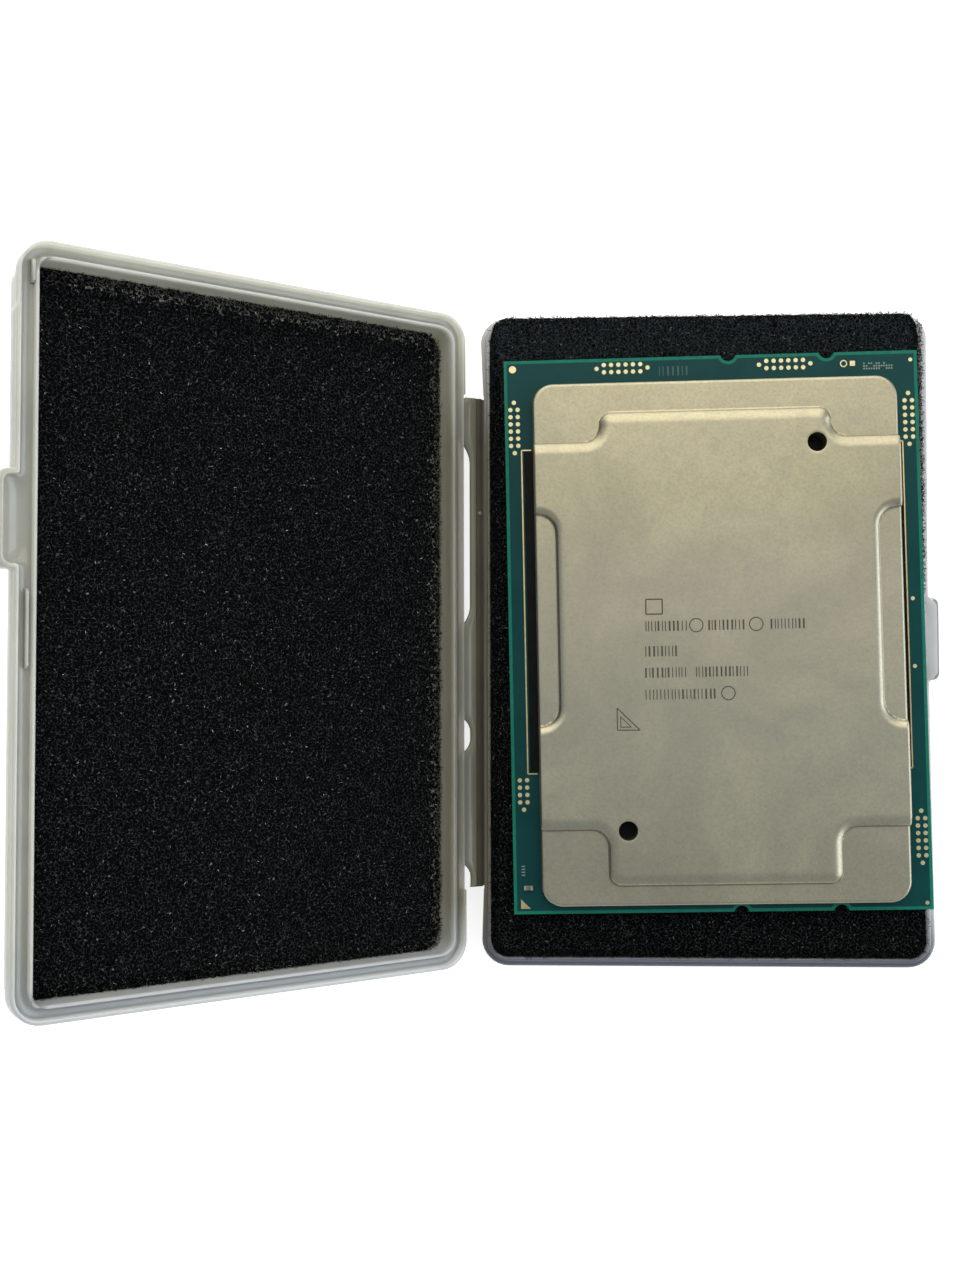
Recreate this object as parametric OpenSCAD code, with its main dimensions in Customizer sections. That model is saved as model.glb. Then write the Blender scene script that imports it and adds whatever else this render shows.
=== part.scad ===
// Land-grid processor package lying in its hinged storage case, on a foam pad.
// Millimetres, +Z up. The origin is the centre of the case base's underside.
// X runs across the case, away from the hinge. Y runs along the hinge.

/* [Case] */
// Outer width of each half, across the hinge
case_w = 61.9; // [61.9:0.1:64]
// Outer length of each half, along the hinge
case_l = 90.2; // [88:0.1:96]
// Corner radius of both halves, seen from above
case_r = 3.7; // [3.5:0.1:4.5]
// Depth of the base, from its underside to the shelf of its rim
base_h = 8; // [7:0.1:10]
// Depth of the lid, from its outer face to its rim
lid_h = 8; // [7.5:0.1:10]
// Thickness of the two floors
floor_t = 1; // [0.8:0.1:1.2]
// Wall thickness of the base
base_wall = 1.3; // [1.2:0.05:1.4]
// Height of the ridge that stands on the base's rim
ridge_h = 0.5; // [0.3:0.05:0.6]

/* [Lid rim] */
// Height of the wide band round the lid's opening
band_h = 2.35; // [2:0.05:3]
// How far the lid's walls step in below that band
band_step = 1.2; // [1:0.05:1.3]
// Rim width on the hinge side and at both ends
rim_w = 2.2; // [2.1:0.05:2.4]
// Rim width on the latch side
rim_latch_w = 2.6; // [2.5:0.05:2.7]
// Width of the lip outside the rim's groove
lip_w = 0.55; // [0.45:0.05:0.6]
// Width of the rib inside the rim's groove
rib_w = 0.4; // [0.3:0.05:0.45]
// Depth of the groove, which takes the base's ridge
groove_h = 1; // [0.8:0.05:1.2]

/* [Finger tabs] */
// Length of each finger tab
tab_l = 11.4; // [10:0.1:12]
// How far the base's tab stands out
base_tab_out = 1.4; // [1:0.1:2]
// How far the lid's tab stands out
lid_tab_out = 1.8; // [1:0.1:2]
// Place of the base's tab along Y
base_tab_y = -0.2; // [-0.6:0.1:0.2]
// Place of the lid's tab along Y
lid_tab_y = 12.5; // [12.3:0.1:14]
// Length of the latch bead in the lid's groove
bead_l = 9.2; // [6:0.1:10]

/* [Hinge] */
// Length of the strap that joins the halves
strap_l = 68.4; // [60:0.1:72]
// Thickness of the strap
strap_t = 0.7; // [0.6:0.05:0.75]
// Drop from each rim to its living hinge
hinge_drop = 1.45; // [1.4:0.05:1.6]
// Tilt of the strap above level, as the case lies open
strap_tilt = 22.5; // [15:0.5:30]
// Tilt of the lid above level, as the case lies open
lid_tilt = 37; // [20:0.5:60]

/* [Foam] */
// How far the base's foam stands above the rim's shelf
foam_proud = 0.65; // [0.55:0.05:0.7]
// Depth from the lid's rim to its foam
lid_foam_drop = 3; // [2.5:0.1:3.5]

/* [Package] */
// Width of the substrate
sub_w = 56.5; // [56:0.1:56.5]
// Length of the substrate
sub_l = 76; // [74:0.1:78]
// Thickness of the substrate
sub_t = 1.8; // [1.6:0.05:2]
// Height of the heat spreader's top above the solder mask
spreader_h = 3.1; // [3.05:0.05:3.3]
// Height of the spreader's low shoulders above the solder mask
shoulder_h = 1.9; // [1.85:0.05:2.1]
// Diameter of the spreader's two vent holes
vent_d = 2.6; // [2:0.1:3]
// Place of the package across the case
package_x = 1.2; // [0.8:0.1:1.3]
// Place of the package along the case
package_y = 0.8; // [0:0.1:1.5]
// Turn of the package, counter-clockwise from above
package_turn = 0.93; // [0.6:0.01:1]

/* [Hidden] */
$fn = 48;
cut = 0.01;                 // lets a cutter pass a face cleanly

// Rim and hinge
fit_gap = 0.1;              // clearance between foam and wall, and at the closed rims
hinge_clear = 0.1;          // clearance round the strap's rounded edges
hinge_relief = 0.4;         // depth of the relief in each wall beside the strap
relief_h = 2.2;             // height of that relief, from the rim
ridge_in = 0.7;             // distance from the base's outer face to its ridge
strap_w = 2 * hinge_drop + fit_gap;
axis_out = strap_t / 2 + hinge_clear - hinge_relief;
base_axis = [-case_w / 2 - axis_out, 0, base_h - hinge_drop];
lid_axis = base_axis + strap_w * [-cos(strap_tilt), 0, sin(strap_tilt)];
strap_y = -0.2;             // the strap's middle along Y
window_in = 1.65;           // distance from the base's hinge to the windows
windows = [[1.4, 28], [-16.2, -10.6], [-36, -30.8]];
strap_step = [0.45, 1.1];   // thinned band of the strap, from the base's hinge
strap_step_h = 0.3;

// Tabs
tab_t = 1.2;
tab_r = 2;
bead_in = 1.6;              // distance from the lid's outer face to the latch bead
bead_w = 0.3;

// Lid cavity, in the lid's own frame: X from the latch side to the hinge side
cavity_x0 = -case_w + rim_latch_w;
cavity_x1 = -rim_w;
cavity_l = case_l - 2 * rim_w;
cavity_r = 2;

// Foam
foam_w = case_w - 2 * (base_wall + fit_gap);
foam_l = case_l - 2 * (base_wall + fit_gap);
foam_r = case_r - base_wall;
crown_in = 1.7;             // width of the foam's low margin

// Package stack, from the substrate's underside up
mask_t = 0.05;
mask_in = 0.45;             // bare border round the solder mask
land_t = 0.05;
mask_top = sub_t + mask_t;
package_z = base_h + foam_proud + land_t;
underfill_t = 0.2;
patch_t = 0.7;
die_t = 0.7;
tim_t = 0.15;
seat_t = 0.25;              // height of the spreader's underside above the mask
ledge_h = 2.3;              // height of the spreader's side ledges above the mask
patch_top = underfill_t + patch_t;
die_top = patch_top + die_t;
ceiling_h = die_top + tim_t;
pad_d = 0.6;
pad_pitch = 1;
plating_t = 0.03;

// Notches in the substrate's two ends
notch_r = 1.05;
notch_out = 0.25;           // distance of their centres outside the edge
notch_x = [2.6, 16];

// Spreader outline: left, right, bottom, top
spreader_box = [-24.45, 25, -36.8, 34.3];
waist_box = [-24.45, 25, -26.5, 26];
neck_box = [-15.3, 15.8, -34, 30];
ledge_y = [-12.5, 16.3];
ledge_x = [-21.55, 21.85];
ledge_r = 2.6;
spreader_r = 2.9;
neck_r = 1.6;               // outer corners of the raised neck
flare_r = 2.2;              // inner corners where the neck meets the waist
vents = [[13.8, 25.2], [-12.7, -26.6]];

// Underfill and frame lines: left, right, bottom, top
underfill_box = [-25.7, 25.85, -18.7, 25.3];
frame_w = 0.3;

// ---------------------------------------------------------------- shared shapes

// Rectangle with round corners, centred
module rounded_rect(w, l, r) {
    square([w - 2 * r, l], center = true);
    square([w, l - 2 * r], center = true);
    for (sx = [-1, 1], sy = [-1, 1])
        translate([sx * (w / 2 - r), sy * (l / 2 - r)]) circle(r);
}

// Rectangle from its left, right, bottom and top
module box_2d(b) {
    translate([b[0], b[2]]) square([b[1] - b[0], b[3] - b[2]]);
}

// The same with round corners
module rounded_box_2d(b, r) {
    translate([(b[0] + b[1]) / 2, (b[2] + b[3]) / 2])
        rounded_rect(b[1] - b[0], b[3] - b[2], r);
}

// Web that fills an inner corner at a point, towards the quarter (sx, sy)
module corner_web(x, y, sx, sy, r) {
    translate([x, y]) difference() {
        translate([min(0, sx * r), min(0, sy * r)]) square(r);
        translate([sx * r, sy * r]) circle(r);
    }
}

// Finger tab in plan, standing out along +X from x = 0
module tab_2d(out) {
    translate([-case_r, -tab_l / 2]) square([case_r + out - tab_r / 2, tab_l]);
    translate([-case_r, -tab_l / 2 + tab_r / 2])
        square([case_r + out, tab_l - tab_r]);
    for (s = [-1, 1])
        translate([out - tab_r / 2, s * (tab_l - tab_r) / 2]) circle(tab_r / 2);
}

// Places a piece of the package
module in_package(z = 0) {
    translate([package_x, package_y, package_z + z])
        rotate([0, 0, package_turn]) children();
}

// Places a piece of the lid: its rim is at z = 0, its hinge-side face at x = 0
module in_lid() {
    translate(lid_axis) rotate([0, lid_tilt, 0])
        translate([-axis_out, 0, hinge_drop]) children();
}

// ---------------------------------------------------------------- storage case

module case_base() {
    color("gainsboro") difference() {
        union() {
            linear_extrude(base_h) rounded_rect(case_w, case_l, case_r);
            linear_extrude(base_h + ridge_h)
                rounded_rect(case_w - 2 * ridge_in, case_l - 2 * ridge_in, case_r - ridge_in);
            translate([case_w / 2, base_tab_y, base_h - tab_t])
                linear_extrude(tab_t) tab_2d(base_tab_out);
        }
        translate([0, 0, floor_t]) linear_extrude(base_h)
            rounded_rect(case_w - 2 * base_wall, case_l - 2 * base_wall, foam_r);
        translate([-case_w / 2 - cut, strap_y - strap_l / 2 - fit_gap, base_h - relief_h])
            cube([hinge_relief + cut, strap_l + 2 * fit_gap, relief_h + cut]);
    }
}

module base_foam() {
    pocket = [26, 36];
    color("#1a1a1c") difference() {
        translate([0, 0, floor_t]) union() {
            linear_extrude(base_h - floor_t) rounded_rect(foam_w, foam_l, foam_r);
            linear_extrude(base_h - floor_t + foam_proud)
                rounded_rect(foam_w - 2 * crown_in, foam_l - 2 * crown_in, 1.5);
        }
        // Hollow pressed by the capacitors under the package
        translate([package_x - pocket[0] / 2, package_y - pocket[1] / 2, base_h])
            cube([pocket[0], pocket[1], base_h]);
    }
}

// Plan of the lid's opening, grown by a margin
module cavity_2d(grow) {
    rounded_box_2d([cavity_x0 - grow, cavity_x1 + grow,
                    -cavity_l / 2 - grow, cavity_l / 2 + grow], cavity_r + grow);
}

// Plan of the lid's band with its finger tab, shrunk by an inset
module band_2d(inset) {
    translate([-case_w / 2, 0])
        rounded_rect(case_w - 2 * inset, case_l - 2 * inset, case_r - inset);
    translate([-case_w + inset, lid_tab_y]) mirror([1, 0])
        intersection() {
            tab_2d(lid_tab_out);
            translate([-case_r, -tab_l / 2 + inset]) square([2 * case_r, tab_l - 2 * inset]);
        }
}

module case_lid() {
    color("gainsboro") in_lid() difference() {
        union() {
            translate([0, 0, -band_h]) linear_extrude(band_h) band_2d(0);
            translate([-case_w / 2, 0, -lid_h]) linear_extrude(lid_h)
                rounded_rect(case_w - 2 * band_step, case_l - 2 * band_step,
                             case_r - band_step);
        }
        translate([0, 0, -lid_h + floor_t]) linear_extrude(lid_h) cavity_2d(0);
        translate([0, 0, -groove_h]) linear_extrude(groove_h + cut) difference() {
            band_2d(lip_w);
            cavity_2d(rib_w);
            translate([-case_w + bead_in - bead_w / 2, -bead_l / 2]) square([bead_w, bead_l]);
        }
        translate([-hinge_relief, strap_y - strap_l / 2 - fit_gap, -relief_h])
            cube([hinge_relief + cut, strap_l + 2 * fit_gap, relief_h + cut]);
    }
}

module lid_foam() {
    color("#1a1a1c") in_lid()
        translate([0, 0, -lid_h + floor_t])
        linear_extrude(lid_h - floor_t - lid_foam_drop) cavity_2d(-fit_gap);
}

// The strap's own frame: the base's hinge is at x = 0, the lid's at x = -strap_w
module hinge_strap() {
    color("silver") translate(base_axis) rotate([0, strap_tilt, 0])
        translate([0, strap_y, 0]) difference() {
            union() {
                translate([-strap_w, -strap_l / 2, -strap_t / 2])
                    cube([strap_w, strap_l, strap_t]);
                for (x = [0, -strap_w])
                    translate([x, 0, 0]) rotate([90, 0, 0])
                        cylinder(h = strap_l, d = strap_t, center = true);
            }
            for (w = windows)
                translate([-strap_w - strap_t, w[0] - strap_y, -strap_t])
                    cube([strap_w + strap_t - window_in, w[1] - w[0], 2 * strap_t]);
            translate([-strap_step[1], -strap_l, strap_t / 2 - strap_step_h])
                cube([strap_step[1] - strap_step[0], 2 * strap_l, strap_t]);
        }
}

// ---------------------------------------------------------------- package boards

// Outline of the substrate, shrunk by an inset, with its end notches
module substrate_2d(inset) {
    difference() {
        square([sub_w - 2 * inset, sub_l - 2 * inset], center = true);
        for (x = notch_x, s = [-1, 1])
            translate([x, s * (sub_l / 2 + notch_out)]) circle(notch_r + inset);
    }
}

module substrate() {
    color("#237a60") in_package() linear_extrude(sub_t) substrate_2d(0);
}

module solder_mask() {
    color("#1c4a4c") in_package(sub_t) linear_extrude(mask_t) substrate_2d(mask_in);
}

module underfill() {
    color("#101413") in_package(mask_top) linear_extrude(underfill_t) box_2d(underfill_box);
}

patch_box = [-20.4, 20.8, -17, 22.4];
module patch_substrate() {
    color("#2a6b5c") in_package(mask_top + underfill_t) linear_extrude(patch_t)
        box_2d(patch_box);
}

die_box = [-10.8, 11.2, -9, 13.4];
module silicon_die() {
    color("#5a5d66") in_package(mask_top + patch_top) linear_extrude(die_t) box_2d(die_box);
}

module thermal_interface() {
    color("#a9abad") in_package(mask_top + die_top) linear_extrude(tim_t) box_2d(die_box);
}

// ---------------------------------------------------------------- heat spreader

// Raised part in plan: a waist from side to side, with a neck towards each end
module raised_2d() {
    box_2d(waist_box);
    rounded_box_2d(neck_box, neck_r);
    for (side = [0, 1], end = [2, 3])
        corner_web(neck_box[side], waist_box[end],
                   side == 0 ? -1 : 1, end == 2 ? -1 : 1, flare_r);
}

// Low ledges cut into the two long sides
module ledges_2d() {
    rounded_box_2d([spreader_box[0] - ledge_r * 2, ledge_x[0], ledge_y[0], ledge_y[1]], ledge_r);
    rounded_box_2d([ledge_x[1], spreader_box[1] + ledge_r * 2, ledge_y[0], ledge_y[1]], ledge_r);
}

// Hollow under the spreader, round the die and its board
module hollow_2d() {
    box_2d([-21.2, 21.6, -23.5, 23]);
    box_2d([-13.4, 13.8, -30.5, 26.8]);
}

module heat_spreader() {
    color("#b7ae92") in_package(mask_top) difference() {
        union() {
            translate([0, 0, seat_t]) linear_extrude(shoulder_h - seat_t)
                rounded_box_2d(spreader_box, spreader_r);
            translate([0, 0, seat_t]) linear_extrude(spreader_h - seat_t)
                intersection() {
                    raised_2d();
                    rounded_box_2d(spreader_box, spreader_r);
                }
        }
        translate([0, 0, ledge_h]) linear_extrude(spreader_h) ledges_2d();
        linear_extrude(ceiling_h) hollow_2d();
        for (v = vents)
            translate([v[0], v[1], 0]) cylinder(h = spreader_h + 1, d = vent_d);
    }
}

module spreader_sealant() {
    seal_w = 2.4;
    color("#3a3c3e") in_package(mask_top) linear_extrude(seat_t) difference() {
        rounded_box_2d(spreader_box, spreader_r);
        box_2d([spreader_box[0] + seal_w, spreader_box[1] - seal_w,
                spreader_box[2] + seal_w, spreader_box[3] - seal_w]);
        box_2d([spreader_box[0] - 1, spreader_box[1] + 1,
                underfill_box[2] - fit_gap, underfill_box[3] + fit_gap]);
    }
}

// ---------------------------------------------------------------- small parts

// Chip capacitors in a grid of boxes
module chip_grid(nx, ny, dx, dy, size) {
    for (i = [0:nx - 1], j = [0:ny - 1])
        translate([(i - (nx - 1) / 2) * dx, (j - (ny - 1) / 2) * dy, size[2] / 2])
            cube(size, center = true);
}

module die_side_capacitors() {
    size = [1, 0.5, 0.5];
    color("#8a7a62") in_package(mask_top + patch_top)
        for (x = [-15.5, 16])
            translate([x, 2.2, 0]) chip_grid(3, 8, 2.2, 2.4, size);
}

module land_side_capacitors() {
    size = [1, 0.5, 0.5];
    color("#8a7a62") in_package(-size[2]) chip_grid(7, 12, 2.4, 2, size);
}

// Frame lines beside the spreader, with returns at both ends
module frame_traces() {
    far = [-26.15, 26.25];
    near = [-24.9, 25.4];
    y0 = underfill_box[2] - frame_w - fit_gap;
    y1 = underfill_box[3] + fit_gap;
    color("#c9b27c") in_package(mask_top) linear_extrude(plating_t)
        for (i = [0, 1]) {
            x0 = min(far[i], near[i]);
            x1 = max(far[i], near[i]);
            translate([far[i] - (i == 0 ? 0 : frame_w), y0])
                square([frame_w, y1 - y0 + frame_w]);
            for (y = [y0, y1])
                translate([x0, y]) square([x1 - x0, frame_w]);
        }
}

module pad() {
    cylinder(h = plating_t, d = pad_d);
}

// Two rows of test pads along Y, with a single pad past the chosen ends
module test_pads(x, y, rows, first = true) {
    color("#e6d6a4") in_package(mask_top) translate([x, y, 0]) {
        for (s = [-1, 1], k = [0:rows - 1])
            translate([s * pad_pitch / 2, (k - (rows - 1) / 2) * pad_pitch, 0]) pad();
        for (s = first ? [-1, 1] : [-1])
            translate([0, s * (rows + 1) / 2 * pad_pitch, 0]) pad();
    }
}

// The same rows along X
module test_pads_across(x, y, rows) {
    color("#e6d6a4") in_package(mask_top) translate([x, y, 0]) {
        for (s = [-1, 1], k = [0:rows - 1])
            translate([(k - (rows - 1) / 2) * pad_pitch, s * pad_pitch / 2, 0]) pad();
        for (s = [-1, 1])
            translate([s * (rows + 1) / 2 * pad_pitch, 0, 0]) pad();
    }
}

module corner_fiducial() {
    color("#f0c670") in_package(mask_top) translate([-27.05, 36.8, 0])
        cylinder(h = plating_t, d = 1);
}

module locator_dots() {
    dots = [[27.35, 36.7], [27.4, -37.1], [26.7, 4], [26.7, -5.2]];
    color("#e6d6a4") in_package(mask_top)
        for (p = dots)
            translate([p[0], p[1], 0]) cylinder(h = plating_t, d = 0.55);
}

module pin_one_marker() {
    side = 1.3;
    color("#d9b46a") in_package(mask_top) translate([-27.3, -37.25, 0])
        linear_extrude(plating_t) polygon([[0, 0], [side, 0], [0, side]]);
}

// Chip capacitor at the corner beside pin one
capacitor_at = [-26.25, -34.4];
capacitor_size = [1.2, 0.6, 0.4];
capacitor_end = 0.3;

module corner_capacitor_body() {
    color("#b09468") in_package(mask_top)
        translate([capacitor_at[0], capacitor_at[1], capacitor_size[2] / 2])
        cube(capacitor_size - [2 * capacitor_end, 0, 0], center = true);
}

module corner_capacitor_ends() {
    color("#cfd2d4") in_package(mask_top)
        for (s = [-1, 1])
            translate([capacitor_at[0] + s * (capacitor_size[0] - capacitor_end) / 2,
                       capacitor_at[1], capacitor_size[2] / 2])
                cube([capacitor_end, capacitor_size[1], capacitor_size[2]], center = true);
}

// One half of the contact lands under the package, open round the capacitors
module land_field(side) {
    gap = 0.9;
    field = [26.6, 36.4];
    window = [10.2, 13.2];
    color("#d8bd7a") in_package(-land_t) linear_extrude(land_t) difference() {
        translate([side < 0 ? -field[0] : gap, -field[1]])
            square([field[0] - gap, 2 * field[1]]);
        square(2 * window, center = true);
    }
}

case_base();
base_foam();
case_lid();
lid_foam();
hinge_strap();
substrate();
solder_mask();
underfill();
patch_substrate();
silicon_die();
thermal_interface();
heat_spreader();
spreader_sealant();
die_side_capacitors();
frame_traces();
test_pads_across(-11.95, 36.6, 6);  // test_pads_top_left
test_pads_across(10.3, 36.55, 6);  // test_pads_top_right
test_pads(-26.95, 28.7, 6);  // test_pads_left_upper
test_pads(-26.65, -21.3, 4, false);  // test_pads_left_lower
test_pads(26.9, 28.6, 6);  // test_pads_right_upper
test_pads(26.95, -28.25, 6);  // test_pads_right_lower
corner_fiducial();
locator_dots();
pin_one_marker();
corner_capacitor_body();
corner_capacitor_ends();
land_field(-1);  // land_field_left
land_field(1);  // land_field_right
land_side_capacitors();
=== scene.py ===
"""A processor package in its open storage case: meshes, materials, light and camera."""

import math

import bpy
import numpy as np
from mathutils import Matrix, Vector


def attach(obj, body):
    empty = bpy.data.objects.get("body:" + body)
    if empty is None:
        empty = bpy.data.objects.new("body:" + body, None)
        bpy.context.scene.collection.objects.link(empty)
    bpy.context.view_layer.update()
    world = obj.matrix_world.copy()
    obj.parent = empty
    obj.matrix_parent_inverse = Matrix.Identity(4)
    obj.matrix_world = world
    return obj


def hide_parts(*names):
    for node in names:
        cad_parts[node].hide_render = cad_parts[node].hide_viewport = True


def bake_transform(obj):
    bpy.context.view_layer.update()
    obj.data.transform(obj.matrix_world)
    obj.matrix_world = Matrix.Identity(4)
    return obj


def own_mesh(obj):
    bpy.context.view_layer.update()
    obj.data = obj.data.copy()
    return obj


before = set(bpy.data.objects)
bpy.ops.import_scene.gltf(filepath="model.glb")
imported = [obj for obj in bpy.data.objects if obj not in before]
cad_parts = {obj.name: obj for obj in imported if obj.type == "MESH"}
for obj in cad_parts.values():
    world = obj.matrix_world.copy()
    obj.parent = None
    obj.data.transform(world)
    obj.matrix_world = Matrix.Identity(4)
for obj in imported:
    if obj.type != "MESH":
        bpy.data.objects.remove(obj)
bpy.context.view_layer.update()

MM = 0.001
rng = np.random.default_rng(20)

# ---------------------------------------------------------------- sizes, in millimetres

CASE = (-30.95, 30.95, -45.1, 45.1)         # outline of the base: left, right, bottom, top
CASE_W, CASE_R = 61.9, 3.7
RELIEF = 0.4                                # depth of the relief beside the hinge strap
HINGE_DROP = 1.45                           # from each rim down to its living hinge
STRAP_L, STRAP_Y, STRAP_W, STRAP_T = 68.4, -0.2, 3.0, 0.7
STRAP_TILT, LID_TILT = 22.5, 37.0
BASE_AXIS = (-31.0, 0.0, 6.55)
LID_AXIS = (BASE_AXIS[0] - STRAP_W * math.cos(math.radians(STRAP_TILT)), 0.0,
            BASE_AXIS[2] + STRAP_W * math.sin(math.radians(STRAP_TILT)))
WINDOWS = ((1.4, 28.0), (-16.2, -10.6), (-36.0, -30.8))
WINDOW_IN = 1.65                            # from the base's hinge to the strap's windows
TAB_HALF = 5.7
BASE_TAB, LID_TAB = (-0.2, 1.4), (12.5, 1.8)    # each tab's middle along Y, and how far it stands out
FOAM_TOP = 8.65
MASK_TOP = 1.85
SPREADER = (-24.45, 25.0, -36.8, 34.3)
NECK = (-15.3, 15.8, -34.0, 30.0)
WAIST_Y = (-26.5, 26.0)
LEDGE_X, LEDGE_Y = (-21.55, 21.85), (-12.5, 16.3)
VENTS = ((13.8, 25.2), (-12.7, -26.6))
VENT_R = 1.3
TRACE_Y = (-18.95, 25.55)                   # ends of the traces that frame the underfill
SEAT_H, SHOULDER_H, LEDGE_H, TOP_H = 0.25, 1.9, 2.3, 3.1


def placed(origin, axis, degrees, first=(0, 0, 0)):
    """Matrix that shifts by first, then turns about an axis, then moves to origin, in millimetres."""
    turn = Matrix.Rotation(math.radians(degrees), 4, axis)
    return Matrix.Translation(origin) @ turn @ Matrix.Translation(first)


ROW = Matrix.Identity(4)
IN_LID = placed(LID_AXIS, "Y", LID_TILT, (-0.05, 0, HINGE_DROP))
IN_STRAP = placed(BASE_AXIS, "Y", STRAP_TILT)
IN_PACKAGE = placed((1.2, 0.8, 8.7), "Z", 0.93)


# ---------------------------------------------------------------- mesh helpers

def smooth(t):
    """0 below 0, 1 above 1, with an S-curve between."""
    t = np.clip(t, 0, 1)
    return t * t * (3 - 2 * t)


def in_scene(name, data):
    """A new object in the scene, holding a mesh, light or camera."""
    obj = bpy.data.objects.new(name, data)
    bpy.context.scene.collection.objects.link(obj)
    return obj


def piece(name, verts, faces, materials, body, place=ROW, stands_for=(), slot=None,
          sharp=35, face_materials=None):
    """A mesh object from points in millimetres, riding on a CAD body."""
    verts = np.asarray(verts, float)
    matrix = np.array(place, float)
    verts = (verts @ matrix[:3, :3].T + matrix[:3, 3]) * MM
    mesh = bpy.data.meshes.new(name)
    mesh.from_pydata(verts.tolist(), [], [tuple(int(i) for i in f) for f in faces])
    for m in materials:
        mesh.materials.append(m)
    if face_materials is not None:
        mesh.polygons.foreach_set("material_index", np.asarray(face_materials, np.int32))
    mesh.validate()
    mesh.shade_smooth()
    mesh.set_sharp_from_angle(angle=math.radians(sharp))
    obj = in_scene(name, mesh)
    if body:
        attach(obj, body)
    if stands_for:
        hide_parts(*stands_for)
    return obj


def joined(*parts):
    """One (verts, faces) from several."""
    verts, faces, start = [], [], 0
    for v, f in parts:
        v = np.asarray(v, float)
        verts.append(v)
        faces.extend(tuple(i + start for i in face) for face in f)
        start += len(v)
    return np.concatenate(verts), faces


CORNER_STEPS = 8
ENDS = np.linspace(0, 1, 9)[1:-1]           # points along a ring's two short sides
TAB_CORNER, TAB_FOOT = 1.0, 0.35            # radii at a tab's outer corners and where it meets the wall


def ring(box, r, z, right, left, left_r=None):
    """Anticlockwise outline of a rounded box. right and left list (out, y) along those sides.
    left_r is the radius of the left corners where it differs."""
    x0, x1, y0, y1 = box
    q = r if left_r is None else left_r
    pts = []

    def arc(cx, cy, start, radius):
        for k in range(CORNER_STEPS + 1):
            a = math.radians(start + 90 * k / CORNER_STEPS)
            pts.append((cx + radius * math.cos(a), cy + radius * math.sin(a), z))

    arc(x1 - r, y0 + r, -90, r)
    pts.extend((x1 + out, y, z) for out, y in right)
    arc(x1 - r, y1 - r, 0, r)
    pts.extend((x1 - r + (x0 + q - x1 + r) * t, y1, z) for t in ENDS)
    arc(x0 + q, y1 - q, 90, q)
    pts.extend((x0 - out, y, z) for out, y in reversed(left))
    arc(x0 + q, y0 + q, 180, q)
    pts.extend((x0 + q + (x1 - r - x0 - q) * t, y0, z) for t in ENDS)
    return np.array(pts)


def tab_side(tab, half, share):
    """(out, y) along a side that passes a finger tab. share is 0 for the plain wall, 1 for the tab."""
    mid, out = tab
    foot, corner = TAB_FOOT, TAB_CORNER
    low = []
    for a in np.linspace(180, 90, 5):
        low.append((foot + foot * math.cos(math.radians(a)),
                    -half - foot + foot * math.sin(math.radians(a))))
    for a in np.linspace(-90, 0, 7):
        low.append((out - corner + corner * math.cos(math.radians(a)),
                    -half + corner + corner * math.sin(math.radians(a))))
    flat = [(out, y) for y in np.linspace(-half + corner, half - corner, 7)[1:-1]]
    path = np.array(low + flat + [(o, -y) for o, y in reversed(low)])
    plain = np.linspace(-half - foot, half + foot, len(path))
    outs = path[:, 0] * share
    ys = path[:, 1] * share + plain * (1 - share) + mid
    far = [(0.0, y) for y in (-38, -30, -22, -14) if y < ys[0] - 1]
    near = [(0.0, y) for y in (8, 14, 22, 30, 36.4, 36.8, 37.1, 37.4, 37.8, 39) if y > ys[-1] + 1]
    return far + list(zip(outs, ys)) + near


def relief_side(depth, share):
    """(out, y) along a hinge side, with the relief that takes the strap."""
    y0, y1 = STRAP_Y - STRAP_L / 2 - 0.1, STRAP_Y + STRAP_L / 2 + 0.1
    inner = [(-depth * share, y) for y in np.linspace(y0 + 0.12, y1 - 0.12, 15)]
    return [(0.0, y0 - 0.12)] + inner + [(0.0, y1 + 0.12)]


def inset(box, d):
    """A box made smaller by d on each side."""
    return (box[0] + d, box[1] - d, box[2] + d, box[3] - d)


def loft(rings):
    """A closed solid through rings of equal count, as (verts, faces)."""
    n = len(rings[0])
    faces = []
    for i in range(len(rings) - 1):
        a, b = i * n, (i + 1) * n
        faces.extend((a + k, a + (k + 1) % n, b + (k + 1) % n, b + k) for k in range(n))
    faces.append(tuple(reversed(range(n))))
    faces.append(tuple(range((len(rings) - 1) * n, len(rings) * n)))
    return np.concatenate(rings), faces


def tube(sections):
    """A closed solid through sections of equal count, clockwise about their path."""
    n = len(sections[0])
    verts = np.concatenate([np.asarray(s, float) for s in sections])
    faces = []
    for i in range(len(sections) - 1):
        a, b = i * n, (i + 1) * n
        faces.extend((a + k, b + k, b + (k + 1) % n, a + (k + 1) % n) for k in range(n))
    faces.append(tuple(range(n)))
    faces.append(tuple(reversed(range((len(sections) - 1) * n, len(sections) * n))))
    return verts, faces


def box_distance(x, y, box, r):
    """Distance outside a rounded box, negative inside. r may be (left, right)."""
    if isinstance(r, tuple):
        r = np.where(x < (box[0] + box[1]) / 2, *r)
    qx = np.abs(x - (box[0] + box[1]) / 2) - ((box[1] - box[0]) / 2 - r)
    qy = np.abs(y - (box[2] + box[3]) / 2) - ((box[3] - box[2]) / 2 - r)
    return (np.hypot(np.maximum(qx, 0), np.maximum(qy, 0))
            + np.minimum(np.maximum(qx, qy), 0) - r)


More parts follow.
